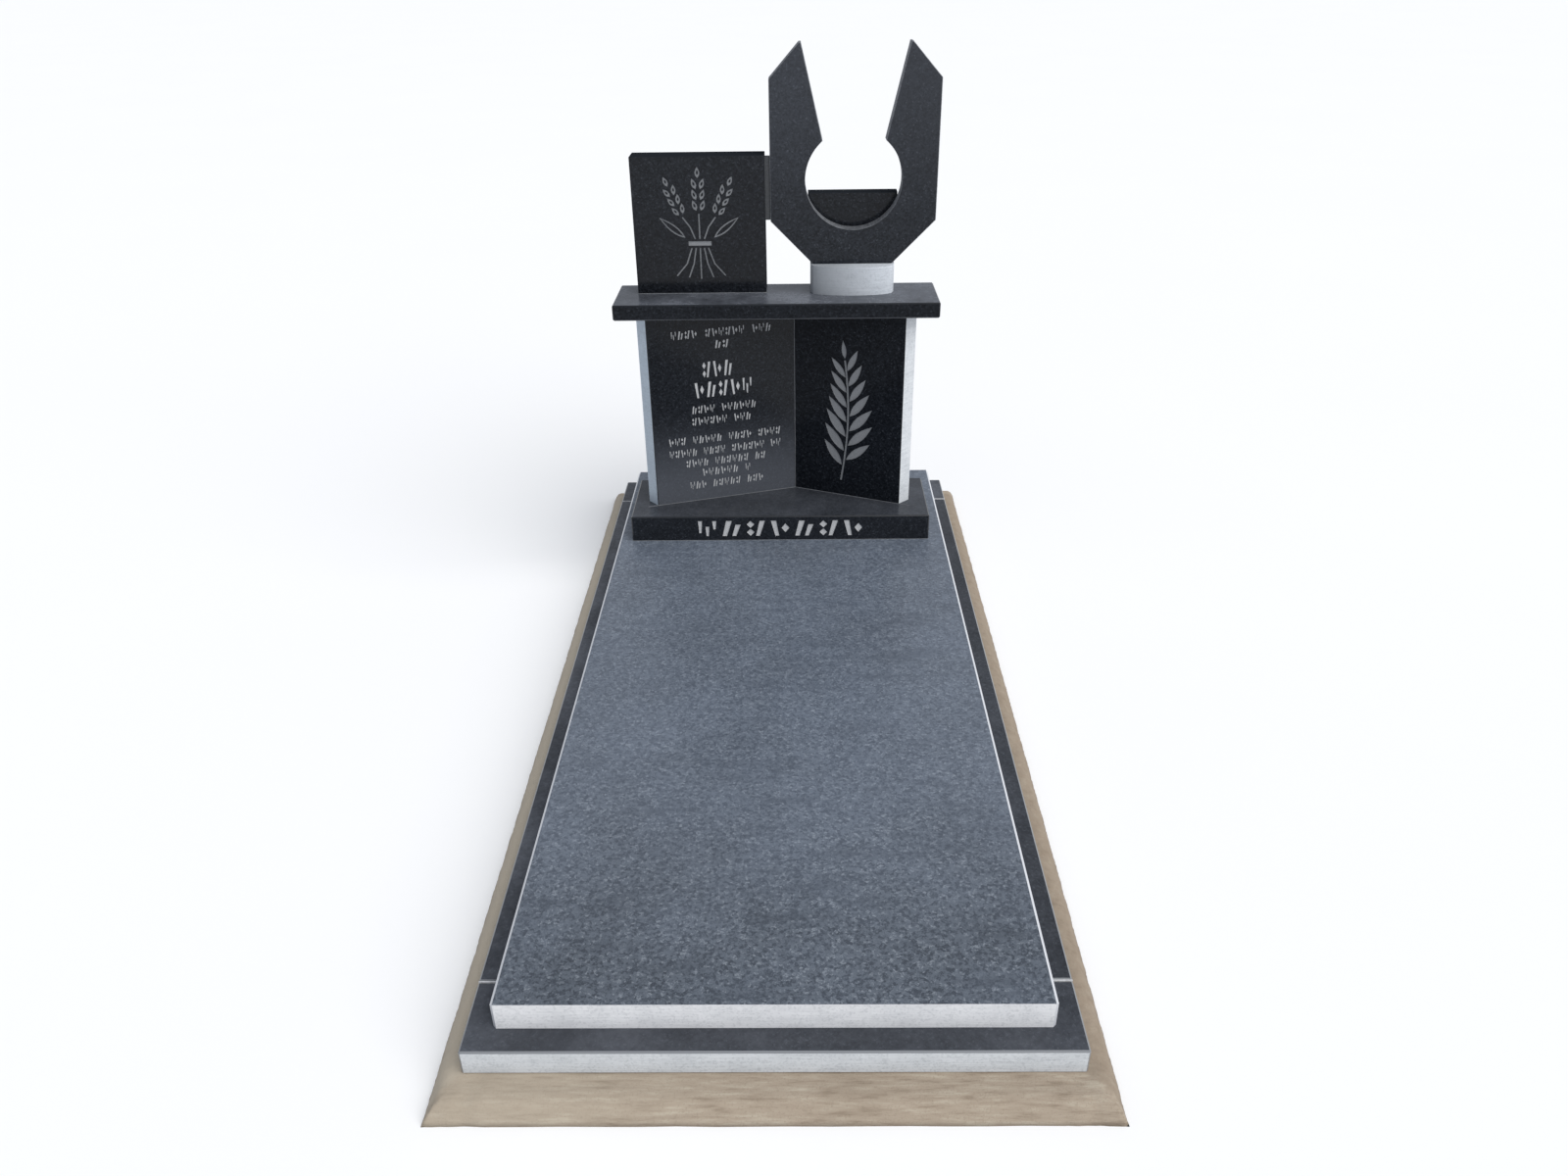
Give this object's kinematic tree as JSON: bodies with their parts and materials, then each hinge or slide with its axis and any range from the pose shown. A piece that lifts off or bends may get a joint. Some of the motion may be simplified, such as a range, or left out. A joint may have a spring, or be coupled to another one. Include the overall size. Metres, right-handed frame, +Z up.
{
  "type": "granite grave memorial",
  "caption": "Full-length granite grave memorial: kerbed ledger slab with an open-book headstone, capped and topped by a square panel and a forked ornament.",
  "frame": {"origin": "middle of the footing's flat underside, where it meets the ground", "axes": "+X across the grave to the right seen from its foot, +Y from the foot end to the head, +Z up"},
  "size_m": [1.096, 2.278, 1.3741],
  "materials": {
    "polished_granite": "polished dark grey granite with fine light and dark speckle",
    "ledger_granite": "polished grey granite, speckled",
    "sawn_granite": "sawn light grey granite, matt",
    "footing_mortar": "sand-coloured floated mortar, matt"
  },
  "bodies": {
    "root": {"footing": "footing_mortar", "kerb_foot": "polished_granite", "kerb_head": "polished_granite", "kerb_left": "polished_granite", "kerb_right": "polished_granite", "ledger": "ledger_granite", "plinth": "polished_granite", "book_left": "polished_granite", "book_right": "polished_granite", "cap": "polished_granite", "square_panel": "polished_granite", "neck": "sawn_granite", "fork": "polished_granite", "back_slab": "polished_granite"}
  },
  "joints": []
}
